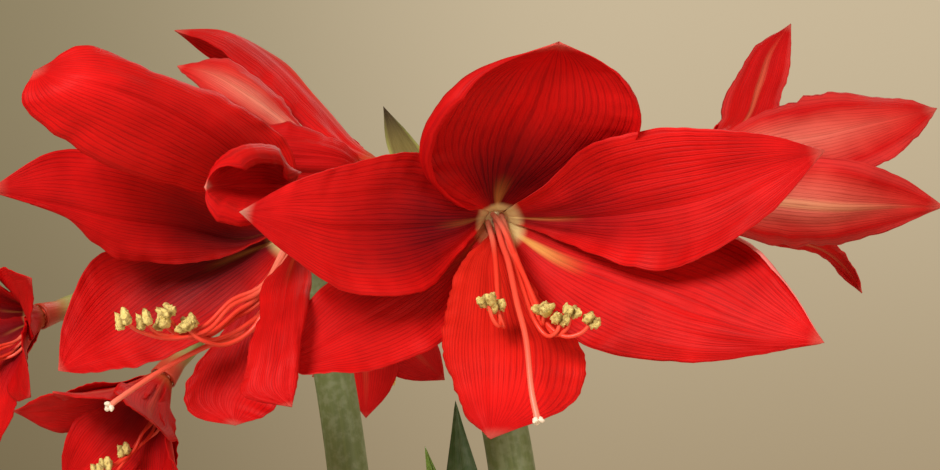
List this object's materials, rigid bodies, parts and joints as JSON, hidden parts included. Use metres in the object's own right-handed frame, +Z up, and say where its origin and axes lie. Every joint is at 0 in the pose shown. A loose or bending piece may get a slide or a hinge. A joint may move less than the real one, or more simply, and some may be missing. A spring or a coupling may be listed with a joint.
{
  "type": "potted amaryllis",
  "caption": "Flowering amaryllis bulb in a round terracotta pot, with two upright scapes of large red trumpet flowers and strap-shaped leaves.",
  "frame": {"origin": "middle of the pot's underside, where the plant stands", "axes": "+Z up; the most open flower of the front umbel faces -Y, and +X is to the right as seen from there"},
  "size_m": [0.4654, 0.4432, 0.694],
  "materials": {
    "terracotta": "unglazed, dull",
    "soil": "loose peat, dull",
    "tunic": "papery bulb skin",
    "stem": "smooth with a pale bloom",
    "leaf": "satin",
    "young_leaf": "satin",
    "bract": "papery, brown and yellow green",
    "petal": "velvety satin",
    "filament": "satin, anthers dusty cream",
    "style": "satin, white stigma"
  },
  "bodies": {
    "root": {"back_leaf": "leaf", "back_left_flower_bottom_petal": "petal", "back_left_flower_far_lower_petal": "petal", "back_left_flower_far_upper_petal": "petal", "back_left_flower_near_lower_petal": "petal", "back_left_flower_near_upper_petal": "petal", "back_left_flower_pistil": "style", "back_left_flower_stalk": "stem", "back_left_flower_stamens": "filament", "back_left_flower_top_petal": "petal", "back_right_leaf": "leaf", "bulb": "tunic", "front_flower_bottom_petal": "petal", "front_flower_lower_left_petal": "petal", "front_flower_lower_right_petal": "petal", "front_flower_pistil": "style", "front_flower_stalk": "stem", "front_flower_stamens": "filament", "front_flower_top_petal": "petal", "front_flower_upper_left_petal": "petal", "front_flower_upper_right_petal": "petal", "front_left_leaf": "leaf", "front_scape": "stem", "front_scape_short_bract": "bract", "front_scape_tall_bract": "bract", "left_flower_bottom_petal": "petal", "left_flower_far_lower_petal": "petal", "left_flower_far_upper_petal": "petal", "left_flower_near_lower_petal": "petal", "left_flower_near_upper_petal": "petal", "left_flower_pistil": "style", "left_flower_stalk": "stem", "left_flower_stamens": "filament", "left_flower_top_petal": "petal", "pot": "terracotta", "potting_soil": "soil", "rear_left_flower_perianth": "petal", "rear_left_flower_stalk": "stem", "rear_left_flower_stamens_and_pistil": "filament", "rear_middle_flower_perianth": "petal", "rear_middle_flower_stalk": "stem", "rear_middle_flower_stamens_and_pistil": "filament", "rear_right_flower_perianth": "petal", "rear_right_flower_stalk": "stem", "rear_right_flower_stamens_and_pistil": "filament", "rear_scape": "stem", "rear_scape_left_bract": "bract", "rear_scape_right_bract": "bract", "right_flower_bottom_petal": "petal", "right_flower_far_lower_petal": "petal", "right_flower_far_upper_petal": "petal", "right_flower_near_lower_petal": "petal", "right_flower_near_upper_petal": "petal", "right_flower_pistil": "style", "right_flower_stalk": "stem", "right_flower_stamens": "filament", "right_flower_top_petal": "petal", "tall_leaf": "leaf", "young_leaf": "young_leaf"}
  },
  "joints": []
}
